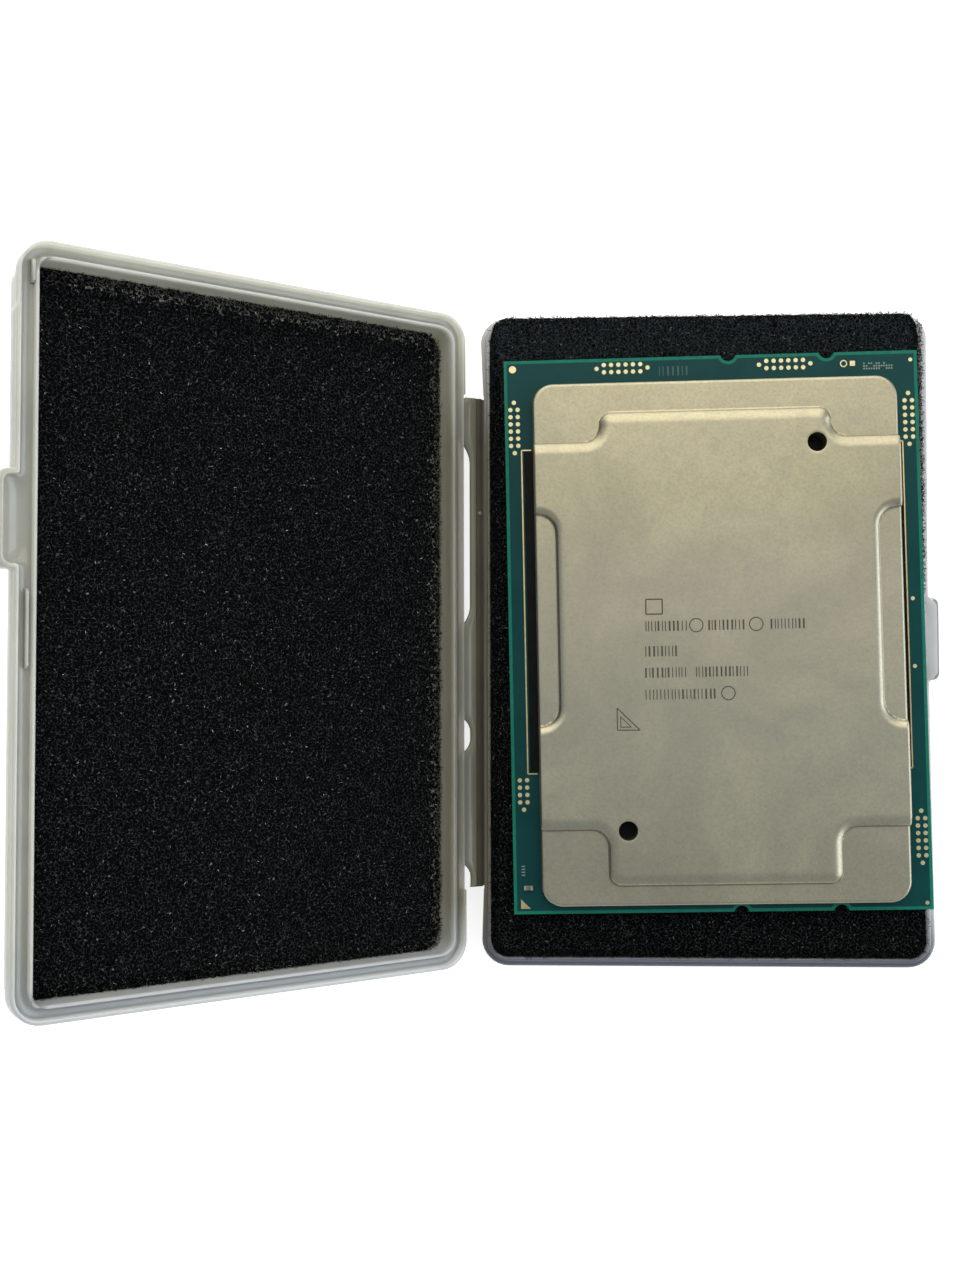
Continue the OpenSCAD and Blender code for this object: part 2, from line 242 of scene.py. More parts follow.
def clipped_grid(xs, ys, distance):
    """Cells of a grid that lie inside a distance field, with the outer points moved onto its edge."""
    x, y = (a.ravel() for a in np.meshgrid(xs, ys))
    nx, ny = len(xs), len(ys)
    d = distance(x, y)
    i, j = np.meshgrid(np.arange(nx - 1), np.arange(ny - 1))
    a = (j * nx + i).ravel()
    cells = np.stack([a, a + 1, a + nx + 1, a + nx], 1)
    cells = cells[(d[cells] < -1e-4).any(1)]
    used = np.unique(cells)
    out = used[d[used] > 0]
    e = 1e-3
    for _ in range(4):
        px, py = x[out], y[out]
        v = distance(px, py)
        gx = (distance(px + e, py) - distance(px - e, py)) / (2 * e)
        gy = (distance(px, py + e) - distance(px, py - e)) / (2 * e)
        n = np.maximum(gx * gx + gy * gy, 1e-6)
        x[out] -= v * gx / n
        y[out] -= v * gy / n
    renumber = np.full(nx * ny, -1)
    renumber[used] = np.arange(len(used))
    return x[used], y[used], renumber[cells]


def skirt(verts, faces, lower):
    """Adds walls below a sheet's free edges. lower lists functions from edge points to the next row.
    Also gives the edges' ends, each point's place in a row, and each row's point numbers."""
    faces = np.asarray(faces)
    count = len(verts)
    a = faces.ravel()
    b = np.roll(faces, -1, axis=1).ravel()
    key, back = a * count + b, b * count + a
    free = ~np.isin(key, back)
    a, b = a[free], b[free]
    rim = np.unique(a)
    where = np.full(count, -1)
    where[rim] = np.arange(len(rim))
    rows, walls = [verts[rim]], []
    index = [rim]
    for f in lower:
        rows.append(f(rows[0]))
        index.append(count + (len(index) - 1) * len(rim) + np.arange(len(rim)))
    for top, low in zip(index[:-1], index[1:]):
        walls.extend(zip(top[where[b]], top[where[a]], low[where[a]], low[where[b]]))
    all_verts = np.concatenate([verts] + rows[1:])
    return all_verts, [tuple(f) for f in faces] + walls, (a, b, where, index)


def chain(a, b):
    """Closed loops of point numbers from directed edges."""
    nxt = dict(zip(a.tolist(), b.tolist()))
    loops = []
    while nxt:
        start = next(iter(nxt))
        loop, here = [start], nxt.pop(start)
        while here != start and here in nxt:
            loop.append(here)
            here = nxt.pop(here)
        loops.append(loop)
    return loops


# ---------------------------------------------------------------- materials

class Nodes:
    """Shorthand for one material's nodes, with textures in millimetres."""

    def __init__(self, name):
        self.material = bpy.data.materials.new(name)
        self.material.use_nodes = True
        self.tree = self.material.node_tree
        self.shader = self.tree.nodes["Principled BSDF"]
        coord = self.tree.nodes.new("ShaderNodeTexCoord")
        scale = self.tree.nodes.new("ShaderNodeVectorMath")
        scale.operation = "SCALE"
        scale.inputs["Scale"].default_value = 1000
        self.link(coord.outputs["Object"], scale.inputs[0])
        self.mm = scale.outputs[0]

    def link(self, a, b):
        self.tree.links.new(a, b)

    def set(self, **values):
        for key, value in values.items():
            self.shader.inputs[key.replace("_", " ")].default_value = value

    def stretched(self, scale, turn):
        node = self.tree.nodes.new("ShaderNodeMapping")
        node.inputs["Scale"].default_value = scale
        node.inputs["Rotation"].default_value = (0, 0, math.radians(turn))
        self.link(self.mm, node.inputs["Vector"])
        return node.outputs[0]

    def texture(self, kind, vector=None, **values):
        node = self.tree.nodes.new("ShaderNodeTex" + kind)
        for key, v in values.items():
            node.inputs[key].default_value = v
        self.link(vector or self.mm, node.inputs["Vector"])
        return node

    def noise(self, scale, detail, rough=0.5, distortion=0.0):
        node = self.texture("Noise", Scale=scale, Detail=detail, Roughness=rough, Distortion=distortion)
        return node.outputs["Fac"]

    def voronoi(self, scale, feature="DISTANCE_TO_EDGE"):
        node = self.texture("Voronoi", Scale=scale)
        node.feature = feature
        return node.outputs["Distance"]

    def wave(self, scale, vector=None, distortion=0.0, direction="X"):
        node = self.texture("Wave", vector, Scale=scale, Distortion=distortion)
        node.bands_direction = direction
        return node.outputs["Fac"]

    def remap(self, value, low, high, to_low=0.0, to_high=1.0):
        node = self.tree.nodes.new("ShaderNodeMapRange")
        for key, v in (("From Min", low), ("From Max", high), ("To Min", to_low), ("To Max", to_high)):
            node.inputs[key].default_value = v
        self.link(value, node.inputs["Value"])
        return node.outputs[0]

    def put(self, socket, value):
        """Sets a socket to a number or a colour, or links another node's output to it."""
        if isinstance(value, tuple):
            socket.default_value = (*value, 1)
        elif isinstance(value, (int, float)):
            socket.default_value = value
        else:
            self.link(value, socket)

    def math(self, operation, a, b=0):
        node = self.tree.nodes.new("ShaderNodeMath")
        node.operation = operation
        self.put(node.inputs[0], a)
        self.put(node.inputs[1], b)
        return node.outputs[0]

    def mix(self, share, a, b):
        node = self.tree.nodes.new("ShaderNodeMix")
        node.data_type = "RGBA"
        for number, value in ((0, share), (6, a), (7, b)):
            self.put(node.inputs[number], value)
        return node.outputs[2]

    def axis(self, name):
        node = self.tree.nodes.new("ShaderNodeSeparateXYZ")
        self.link(self.mm, node.inputs[0])
        return node.outputs[name]

    def colour(self, value):
        self.link(value, self.shader.inputs["Base Color"])

    def roughness(self, value):
        self.link(value, self.shader.inputs["Roughness"])

    def bump(self, height, strength, distance_mm):
        node = self.tree.nodes.new("ShaderNodeBump")
        node.inputs["Strength"].default_value = strength
        node.inputs["Distance"].default_value = distance_mm * MM
        self.link(height, node.inputs["Height"])
        self.link(node.outputs[0], self.shader.inputs["Normal"])


HINGE_X = 32.5                              # distance of the hinge's middle from the base's middle
FAR_SIDE_SHADE = (0.36, 0.36, 0.325)              # painted shade on the lid's wall furthest from the hinge
PLASTIC_CLOUD = (0.30, 0.29, 0.25)          # the darker tone in the plastic's faint clouding


def plastic_material(name, low, high, hinge=None, foot=None, foot_z=None, glow=0.9):
    """Milky plastic between two tones. hinge is a painted shade near the hinge, fading towards the top end,
    and the lid's far wall takes a painted shade too. foot is a painted bluish tint of light and shade over
    the lower end, above the heights foot_z where given. glow is the share of light that goes through the
    surface."""
    m = Nodes(name)
    base = m.mix(m.remap(m.noise(0.09, 3), 0.35, 0.65), low, high)
    if hinge:
        # painted shade near the hinge, fading towards the top end, and on the lid's far wall
        near = m.remap(m.math("ABSOLUTE", m.math("ADD", m.axis("X"), HINGE_X)), 6.5, 2.5)
        below = m.remap(m.axis("Y"), 41, 27, 0.15, 1.0)
        base = m.mix(m.math("MULTIPLY", near, below), base, hinge)
        base = m.mix(m.remap(m.axis("X"), -82.0, -83.2, 0.0, 0.8), base, FAR_SIDE_SHADE)
    if foot:
        # painted bluish light and shade over the lower end
        share = m.remap(m.axis("Y"), -36, -44, 0.0, 0.9)
        if foot_z:
            share = m.math("MULTIPLY", share, m.remap(m.axis("Z"), *foot_z))
        base = m.mix(share, base, foot)
    m.colour(m.mix(m.remap(m.noise(0.35, 3), 0.2, 0.9, 0.0, 0.07), base, PLASTIC_CLOUD))
    m.roughness(m.remap(m.noise(0.6, 4), 0.2, 0.8, 0.285, 0.38))
    m.bump(m.math("ADD", m.noise(3, 2), m.noise(0.8, 2)), 0.05, 0.02)
    m.set(IOR=1.49, Subsurface_Weight=glow, Subsurface_Scale=0.0035, Subsurface_Radius=(1.0, 0.97, 0.88),
          Coat_Weight=0.6, Coat_Roughness=0.12)
    return m.material


def nickel_material():
    """Satin nickel plating: broad stains, smudges, a fine grain, and a middle lightened towards grey as a
    painted sheen.
    """
    m = Nodes("satin_nickel")
    stain = m.noise(0.055, 5, 0.6, distortion=0.8)
    fine = m.noise(0.5, 4, 0.65)
    base = m.mix(m.remap(stain, 0.38, 0.66), (0.465, 0.430, 0.315), (0.545, 0.500, 0.36))
    smudge = m.remap(m.noise(0.13, 4, 0.6, distortion=1.5), 0.56, 0.72)
    base = m.mix(m.math("MULTIPLY", smudge, 0.45), base, (0.41, 0.375, 0.32))
    base = m.mix(m.remap(fine, 0.35, 0.75, 0.0, 0.18), base, (0.33, 0.31, 0.25))
    base = m.mix(m.remap(m.noise(2.6, 3, 0.8), 0.42, 0.66, 0.0, 0.34), base, (0.25, 0.23, 0.18))
    # painted sheen: the middle is lightened towards grey
    middle = m.math("MULTIPLY", m.remap(m.axis("Y"), 20, 6), m.remap(m.axis("Y"), -34, -14, 0.3, 1.0))
    m.colour(m.mix(m.math("MULTIPLY", middle, 0.2), base, (0.62, 0.60, 0.56)))
    m.roughness(m.math("ADD", m.remap(stain, 0.3, 0.7, 0.33, 0.39),
                       m.remap(m.noise(3.0, 3), 0.3, 0.7, 0.0, 0.05)))
    m.bump(m.math("ADD", m.noise(4.5, 2), m.math("MULTIPLY", m.noise(1.6, 2), 0.5)), 0.26, 0.02)
    m.set(Metallic=1.0)
    return m.material


def foam_material(name, pit, strut, glint, bare):
    """Open-cell foam: pits darkened as painted shade, greyer struts between them as painted light, and a few
    bright painted glints. The higher bare is, the fewer struts catch the light."""
    m = Nodes(name)
    edge = m.voronoi(2.0)
    net = m.remap(edge, 0.01, 0.11, 1.0, 0.0)
    fleck = m.remap(m.noise(3.3, 3, 0.75), bare, bare + 0.12)
    spark = m.remap(m.noise(2.2, 1, 0.5), 0.66, 0.72)
    # painted shade in the pits, painted light on the struts and painted glints
    base = m.mix(m.math("MULTIPLY", net, fleck), pit, strut)
    base = m.mix(m.math("MULTIPLY", spark, m.math("MULTIPLY", net, fleck)), base, glint)
    m.colour(base)
    m.roughness(m.remap(m.noise(3, 2), 0.3, 0.7, 0.42, 0.7))
    m.bump(net, 0.6, 0.15)
    m.set(Specular_IOR_Level=0.04)
    return m.material


def mask_material():
    """Solder mask with faint traces under it."""
    m = Nodes("solder_mask")
    cloud = m.noise(0.25, 3)
    base = m.mix(cloud, (0.002, 0.042, 0.046), (0.003, 0.059, 0.062))
    lines = m.remap(m.wave(1.55, vector=m.stretched((1, 0.35, 1), 18), distortion=1.4), 0.78, 0.95)
    patches = m.remap(m.voronoi(0.22, "F1"), 0.25, 0.55)
    base = m.mix(m.math("MULTIPLY", lines, m.math("MULTIPLY", patches, 0.5)), base, (0.008, 0.085, 0.075))
    m.colour(base)
    m.roughness(m.remap(m.noise(1.5, 3), 0.3, 0.7, 0.28, 0.36))
    m.set(Specular_IOR_Level=0.16)
    m.bump(m.math("ADD", lines, m.noise(5, 2)), 0.10, 0.02)
    return m.material


def laminate_material():
    """The board's bare edge, layered along Z."""
    m = Nodes("laminate")
    layers = m.remap(m.wave(2.2, direction="Z"), 0.35, 0.75)
    base = m.mix(layers, (0.002, 0.135, 0.090), (0.006, 0.190, 0.128))
    base = m.mix(m.remap(m.noise(1.4, 4), 0.4, 0.7, 0.0, 0.35), base, (0.002, 0.10, 0.08))
    m.colour(base)
    m.roughness(m.remap(m.noise(4, 3), 0.3, 0.7, 0.36, 0.55))
    m.bump(m.noise(9, 2), 0.15, 0.02)
    m.set(Specular_IOR_Level=0.2)
    return m.material


def speckled(name, a, b, scale, rough, metallic=0.0, spec=0.5):
    """A small part's finish: two tones mixed by noise, with rough and smooth patches."""
    m = Nodes(name)
    m.colour(m.mix(m.remap(m.noise(scale, 4, 0.6), 0.35, 0.65), a, b))
    m.roughness(m.remap(m.noise(scale * 1.7, 3), 0.3, 0.7, rough - 0.06, rough + 0.08))
    m.bump(m.noise(scale * 3, 2), 0.1, 0.02)
    m.set(Metallic=metallic, Specular_IOR_Level=spec)
    return m.material


base_plastic = plastic_material(
    "base_plastic", (0.43, 0.43, 0.45), (0.50, 0.50, 0.535),
    hinge=(0.125, 0.112, 0.082), foot=(0.085, 0.093, 0.130), foot_z=(6.0, 7.6))
lid_plastic = plastic_material(
    "lid_plastic", (0.45, 0.45, 0.41), (0.51, 0.51, 0.465),
    hinge=(0.215, 0.205, 0.16), foot=(0.41, 0.43, 0.465))
# A lighter copy of the lid plastic for painted highlights along the rim's rounded edges, and a darker one for
# painted shade in its groove
rim_highlight_plastic = plastic_material(
    "rim_highlight_plastic", (0.55, 0.55, 0.50), (0.61, 0.61, 0.56),
    hinge=(0.20, 0.19, 0.148), foot=(0.50, 0.52, 0.555))
groove_shade_plastic = plastic_material(
    "groove_shade_plastic", (0.34, 0.34, 0.31), (0.40, 0.40, 0.365),
    hinge=(0.15, 0.14, 0.11), foot=(0.31, 0.325, 0.35))
# The strap and its webs take darker copies of the plastic as painted shade, deepest in the band beside the
# base and on the base's web
strap_shaded_plastic = plastic_material("strap_shaded_plastic", (0.150, 0.140, 0.104), (0.18, 0.17, 0.129), glow=0.2)
strap_deep_shade = plastic_material("strap_deep_shade", (0.062, 0.057, 0.041), (0.082, 0.077, 0.057), glow=0.05)
# painted bluish shade on the base tab's rounded top edge
tab_edge_shade = plastic_material("tab_edge_shade", (0.19, 0.185, 0.23), (0.23, 0.225, 0.275), glow=0.3)
nickel = nickel_material()
foam = foam_material(
    "foam_black", (0.0002, 0.0002, 0.0005), (0.052, 0.056, 0.060), (0.30, 0.31, 0.31), 0.46)
foam_fringe = foam_material(
    "foam_fringe", (0.003, 0.0035, 0.004), (0.040, 0.042, 0.043), (0.30, 0.30, 0.28), 0.47)
foam_lit = foam_material(
    "foam_lit", (0.010, 0.010, 0.009), (0.27, 0.262, 0.232), (0.55, 0.54, 0.49), 0.30)
# painted bluish light over the base foam's top edge
foam_bluish_backlit = foam_material(
    "foam_bluish_backlit", (0.0050, 0.0072, 0.0085), (0.040, 0.050, 0.057), (0.18, 0.20, 0.20), 0.36)
foam_glint = speckled("foam_glint", (0.34, 0.345, 0.335), (0.62, 0.62, 0.58), 1.2, 0.35)
mask = mask_material()
laminate = laminate_material()
epoxy = speckled("epoxy", (0.002, 0.003, 0.003), (0.005, 0.007, 0.007), 0.8, 0.40, spec=0.12)
silicon = speckled("silicon", (0.09, 0.10, 0.12), (0.12, 0.13, 0.15), 0.3, 0.14, 0.7)
thermal = speckled("thermal_alloy", (0.45, 0.46, 0.47), (0.56, 0.57, 0.57), 0.9, 0.4, 1.0)
sealant = speckled("sealant", (0.020, 0.021, 0.022), (0.10, 0.10, 0.10), 1.1, 0.45)
gold = speckled("gold", (0.72, 0.56, 0.29), (0.83, 0.68, 0.40), 1.2, 0.34, 1.0)
pad_gold = speckled("pad_gold", (0.68, 0.61, 0.34), (0.78, 0.72, 0.46), 2.0, 0.38, 1.0)
ceramic = speckled("ceramic", (0.12, 0.11, 0.085), (0.19, 0.17, 0.13), 2.5, 0.45)
tin = speckled("tin", (0.40, 0.41, 0.40), (0.52, 0.53, 0.52), 2.0, 0.36, 1.0)
laser = speckled("laser_mark", (0.075, 0.066, 0.050), (0.11, 0.098, 0.076), 3.0, 0.6, spec=0.25)
legend = speckled("mask_legend", (0.19, 0.24, 0.22), (0.26, 0.31, 0.29), 3.0, 0.55)
legend_faint = speckled("mask_legend_faint", (0.025, 0.085, 0.082), (0.035, 0.10, 0.095), 3.0, 0.4)

CAD_MATERIALS = {
    laminate: ["substrate", "patch_substrate"], mask: ["solder_mask"], epoxy: ["underfill"],
    silicon: ["silicon_die"], thermal: ["thermal_interface"], sealant: ["spreader_sealant"],
    ceramic: ["die_side_capacitors", "corner_capacitor_body", "land_side_capacitors"],
    gold: ["corner_fiducial", "pin_one_marker"], tin: ["corner_capacitor_ends"],
    pad_gold: ["test_pads_top_left", "test_pads_top_right", "test_pads_left_upper",
               "test_pads_left_lower", "test_pads_right_upper", "test_pads_right_lower",
               "locator_dots"],
}
for finish, names in CAD_MATERIALS.items():
    for node_name in names:
        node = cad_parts[node_name]
        node.data.materials.clear()
        node.data.materials.append(finish)


# ---------------------------------------------------------------- case

BOW = 0.26                                  # how far the base's long walls pull in halfway along
HINGE_IN = 0.36                             # how far in the wall beside the hinge stands from the corners
TAB_TOP = 7.85                              # height at which the base tab's top begins to round over


def base_ring(d, z, tab=0.0, relief=0.0, bow=1.0):
    """The base's outline, d in from its outer face. tab, relief and bow are shares from 0 to 1."""
    points = ring(inset(CASE, d), max(CASE_R - d, 0.3), z,
                  tab_side(BASE_TAB, TAB_HALF - d, tab), relief_side(0.1 - min(d, 0.1), relief))
    side = np.abs(points[:, 0]) > 20
    y = points[:, 1]
    pull = BOW * bow * np.cos(np.clip(y / 41.4, -1, 1) * math.pi / 2) ** 1.5
    near_top = np.where(y > 0, 1.0, 0.7) * HINGE_IN * (0.5 + 0.5 * bow)
    hinge_pull = np.maximum(pull, near_top * smooth((42.4 - np.abs(y)) / 5))
    pull = np.where(points[:, 0] < 0, hinge_pull, pull)
    pull *= np.clip((1.2 - d) / 0.9, 0, 1)
    points[side, 0] -= np.sign(points[side, 0]) * pull[side]
    return points


def quarter(r):
    """(in, up) along a quarter round, from its lower end to its upper."""
    return [(r - r * math.sin(a), r - r * math.cos(a)) for a in np.linspace(0, math.pi / 2, 7)]


# The base's section from its underside, up the outside and down the inside: d, z, tab, relief, bow
BASE_FOOT = ((3.3, 0.22, 0, 0, 0), (3.0, 0.18, 0, 0, 0), (2.8, 0.0, 0, 0, 0))
BASE_WALL = (
    (0.10, 3.4, 0, 0, 0.45), (0.04, 5.75, 0, 0, 0.8), (0.03, 5.85, 0, 1, 0.82), (0.02, 6.72, 0, 1),
    (0.02, 6.8, 0, 1), (0.14, 6.8, 1, 1), (0.04, 6.86, 1, 1), (0.0, 7.0, 1, 1), (0.0, 7.68, 1, 1),
    (0.05, TAB_TOP, 1, 1), (0.16, 7.96, 1, 1), (0.32, 8.0, 1, 1), (0.62, 8.0, 0, 1),
    (0.70, 8.05), (0.73, 8.38), (0.80, 8.47), (0.90, 8.5), (1.13, 8.5), (1.23, 8.45), (1.29, 8.33),
    (1.32, 4.0, 0, 0, 0.5), (1.34, 1.5, 0, 0, 0.1), (1.5, 1.1, 0, 0, 0), (1.9, 1.0, 0, 0, 0))

base_rings = [base_ring(*row) for row in BASE_FOOT]
base_rings += [base_ring(0.22 + i, u, bow=0.1 + 0.1 * u) for i, u in quarter(0.95)]
base_rings += [base_ring(*row) for row in BASE_WALL]
base_verts, base_faces = loft(base_rings)
around_base = len(base_rings[0])
tab_top = around_base * next(i for i, r in enumerate(base_rings) if r[0][2] == TAB_TOP)
kinds = [0] * len(base_faces)
# faces of the tab's rounded top take the painted bluish shade
for i in range(tab_top, tab_top + 2 * around_base):
    if min(base_verts[v][0] for v in base_faces[i]) > CASE[1] + 0.2:
        kinds[i] = 1
piece("storage_case_base", base_verts, base_faces, [base_plastic, tab_edge_shade], "base",
      stands_for=["case_base"], slot="case_plastic", sharp=50, face_materials=kinds)

LID = (-CASE_W, 0.0, -45.1, 45.1)
CAVITY = (-59.3, -2.2, -42.9, 42.9)
GROOVE_Z = -1.02                            # just under the floor of the rim's groove


def lid_out(d, z, tab=0.0, relief=0.0):
    """The lid's outline, d in from its outer face, with the small step at its top left corner."""
    points = ring(inset(LID, d), max(CASE_R - d, 0.4), z,
                  relief_side(max(RELIEF - d, 0), relief), tab_side(LID_TAB, TAB_HALF - d, tab))
    step = smooth((points[:, 1] - 36.6) / 1.1) * np.clip((-57.5 - points[:, 0]) / 2.5, 0, 1)
    points[:, 0] += 0.36 * step * (np.clip((0.40 - d) / 0.25, 0, 1) if d < 0.9 else 0.0)
    return points


def lid_in(grow, z):
    """The outline of the lid's cavity, made larger by grow."""
    return ring(inset(CAVITY, -grow), max(2 + grow, 0.5), z, relief_side(RELIEF, 0.0),
                tab_side(LID_TAB, TAB_HALF, 0.0), left_r=0.6 if grow < 0.2 else None)


# The lid's section from its outer face, up the outside to the rim: d, z, tab, relief
LID_FACE = ((5.0, -7.78), (4.6, -7.82), (4.4, -8.0))
LID_WALL = (
    (1.24, -4.4), (1.2, -2.75), (1.15, -2.48), (1.0, -2.35), (0.4, -2.35), (0.2, -2.35, 1),
    (0.05, -2.28, 1), (0.0, -2.2, 1), (0.0, -2.16, 1, 1), (0.0, -0.22, 1, 1), (0.06, -0.08, 1, 1),
    (0.18, 0.0, 1, 1), (0.40, 0.0, 1), (0.50, -0.05, 1), (0.55, -0.16, 1), (0.58, -0.86, 1),
    (0.70, -0.99, 1))
# From the groove over the rib and down into the cavity: grow, z
LID_RIB = (
    (0.50, -1.0), (0.42, -0.92), (0.40, -0.16), (0.34, -0.04), (0.22, 0.0), (0.12, -0.02),
    (0.03, -0.12), (0.0, -0.3), (-0.06, -6.5), (-0.2, -6.85), (-0.6, -7.0))

lid_rings = [lid_out(*row) for row in LID_FACE]
lid_rings += [lid_out(1.32 + i, u - 8.0) for i, u in quarter(0.95)]
lid_rings += [lid_out(*row) for row in LID_WALL] + [lid_in(*row) for row in LID_RIB]


def bar_section(x, y, half):
    """Section of a small bar in the rim's groove. half lists (distance from its middle, z) upwards."""
    return ([(x - w, y, z) for w, z in half] + [(x + w, y, z) for w, z in reversed(half)])


bead_sections = []
for y in np.concatenate([[-4.6, -4.5, -4.2], np.linspace(-3.8, 3.8, 5), [4.2, 4.5, 4.6]]):
    rise = 1 - 0.8 * smooth((abs(y) - 4.2) / 0.4)
    bead_sections.append(bar_section(-CASE_W + 1.6, y, (
        (0.17, GROOVE_Z), (0.15, -0.25 * rise - 0.75 * (1 - rise)), (0.07, -0.08 * rise - 0.8 * (1 - rise)))))
stub_sections = []
for y, rise in ((39.9, 0.0), (40.0, 0.6), (40.15, 1.0), (42.5, 1.0), (42.7, 0.6), (42.8, 0.0)):
    stub_sections.append(bar_section(-CASE_W + 1.95, y, (
        (0.20, GROOVE_Z), (0.18, -1.0 + 0.85 * rise), (0.08, -1.0 + 1.04 * rise))))
lid_verts, lid_faces = joined(loft(lid_rings), tube(bead_sections), tube(stub_sections))
around_lid = len(lid_rings[0])
heights = [float(r[0][2]) for r in lid_rings]
lip_edge, rib_foot = heights.index(-0.05), heights.index(-0.92)
# Bands of the rim with painted highlights (1) along its rounded edges and painted shade (2) in its groove
tones = {lip_edge - 1: 1, lip_edge: 1, lip_edge + 1: 1, rib_foot - 2: 2, rib_foot - 1: 2,
         rib_foot + 1: 1, rib_foot + 2: 1, rib_foot + 5: 1}
kinds = [tones.get(i // around_lid, 0) for i in range(len(lid_faces))]
piece("storage_case_lid", lid_verts, lid_faces, [lid_plastic, rim_highlight_plastic, groove_shade_plastic], "lid", IN_LID,
      stands_for=["case_lid"], slot="case_plastic", sharp=50, face_materials=kinds)


# ---------------------------------------------------------------- hinge strap and its two webs

STRAP_STEP = 0.12                           # half the drop of the band beside the base
SHADE_BAND_FACES = 8                              # faces of each section, from the base's edge, in that band, which takes the deeper painted shade


def strap_section(y, left, thin):
    """Section of the strap at y, with its lid side at x = left. thin scales its thickness."""
    h = STRAP_T / 2 * thin
    pts = []
    for a in np.radians(np.linspace(-90, 90, 7)):
        pts.append((0.30 * thin * math.cos(a), y, (h - STRAP_STEP) * math.sin(a) - STRAP_STEP))
    pts += [(-0.72, y, h - 0.24), (-0.80, y, h - 0.22), (-0.86, y, h - 0.05), (-0.93, y, h)]
    for a in np.radians(np.linspace(90, 270, 7)):
        pts.append((left + h + 0.35 * thin * math.cos(a), y, h * math.sin(a)))
    pts += [(-1.1, y, -h), (-0.5, y, -h)]
    return pts


def window_share(y):
    """1 in a window of the strap, 0 between them, with tapered ends."""
    share = 0.0
    for y0, y1 in WINDOWS:
        taper = min(3.2, (y1 - y0) / 2.6)
        share = max(share, float(min(smooth((y - y0) / taper), smooth((y1 - y) / taper))) ** 0.45)
    return share


STRAP_LOW, STRAP_HIGH = STRAP_Y - STRAP_L / 2, STRAP_Y + STRAP_L / 2
strap_ys = [STRAP_LOW, STRAP_LOW + 0.1, STRAP_LOW + 0.3, STRAP_HIGH - 0.3, STRAP_HIGH - 0.1, STRAP_HIGH]
strap_ys += np.arange(-34.0, 33.5, 0.5).tolist()
for w in WINDOWS:
    for edge, way in ((w[0], 1), (w[1], -1)):
        strap_ys += [edge + way * s for s in (0.0, 0.15, 0.35, 0.55, 0.8, 1.1)]
strap_ys = sorted({round(y, 3) for y in strap_ys if abs(y - STRAP_Y) <= STRAP_L / 2})
full_left, open_left = -STRAP_W - STRAP_T / 2, -WINDOW_IN - 0.05
sections = []
for y in strap_ys:
    from_end = STRAP_L / 2 - abs(y - STRAP_Y)
    thin = 0.72 + 0.28 * float(smooth(from_end / 0.3))
    left = full_left + (open_left - full_left) * window_share(y)
    left += 0.9 * (1 - float(smooth(from_end / 0.9))) if y > 0 else 0.0
    sections.append(strap_section(y, left, thin))
strap_verts, strap_faces = tube(sections)

# A small nub left by moulding, in the upper half of the strap
NUB_X, NUB_Y = -0.14, 17.7
nub = []
for r, z in (0.34, 0.05), (0.32, 0.22), (0.22, 0.31), (0.05, 0.33):
    nub.append([(NUB_X + r * math.cos(a), NUB_Y + r * math.sin(a), z)
                for a in np.linspace(0, 2 * math.pi, 13)[:-1]])
nub_verts, nub_faces = loft([np.array(r) for r in nub])
around_strap = len(sections[0])
# the band beside the base takes the deeper painted shade
kinds = [1 if i // around_strap < len(sections) - 1 and i % around_strap < SHADE_BAND_FACES else 0
         for i in range(len(strap_faces))] + [0] * len(nub_faces)
piece("hinge_strap_moulding", *joined((strap_verts, strap_faces), (nub_verts, nub_faces)),
      [strap_shaded_plastic, strap_deep_shade], "strap", IN_STRAP, stands_for=["hinge_strap"], slot="case_plastic",
      sharp=40, face_materials=kinds)


WEB_HALF = 0.14                             # half a web's thickness at its ends


def web(name, spans, start, end, finish):
    """Thin living hinge between two points of the section, along the given spans of Y."""
    parts = []
    a, b = np.array(start, float), np.array(end, float)
    along = b - a
    up = np.array([-along[2], 0, along[0]]) / np.linalg.norm(along)
    if up[2] < 0:
        up = -up
    for y0, y1 in spans:
        rows = []
        for y in np.linspace(y0, y1, max(2, int((y1 - y0) / 2))):
            top, bottom = [], []
            for t in np.linspace(0, 1, 7):
                waist = 1 - 0.55 * math.sin(math.pi * t)
                p = a + along * t + np.array([0, y, 0])
                top.append(p + up * WEB_HALF * waist)
                bottom.append(p - up * WEB_HALF * waist)
            rows.append(top + bottom[::-1])
        parts.append(tube(rows))
    obj = piece(name, *joined(*parts), [finish], None, slot="case_plastic", sharp=60)
    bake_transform(obj)


def on_strap(x, z):
    return tuple(IN_STRAP @ Vector((x, 0, z)))


def on_lid(x, z):
    return tuple(IN_LID @ Vector((x, 0, z)))


strap_span = (STRAP_LOW + 0.15, STRAP_HIGH - 0.15)
# the base's web takes the deeper painted shade
web("base_living_hinge", [strap_span], (-30.35, 0, 6.45), on_strap(-0.15, 0.0), strap_deep_shade)
# The lid's web is open beside each window
edges = [y for low, high in WINDOWS for y in (high + 0.1, low - 0.1)]
ends = [strap_span[1], *edges, strap_span[0]]
bridges = [(low, high) for high, low in zip(ends[::2], ends[1::2]) if high - low > 0.5]
web("lid_living_hinge", bridges, on_strap(-STRAP_W + 0.15, 0.0), on_lid(-0.55, -1.5),
    strap_shaded_plastic)


# ---------------------------------------------------------------- foam

JITTER = rng.random((256, 256, 2))          # where each cell's middle lies, repeating after 256 cells
FACE, FRINGE, GLINT, BACKLIT, LIT = range(5)    # a pad's finishes


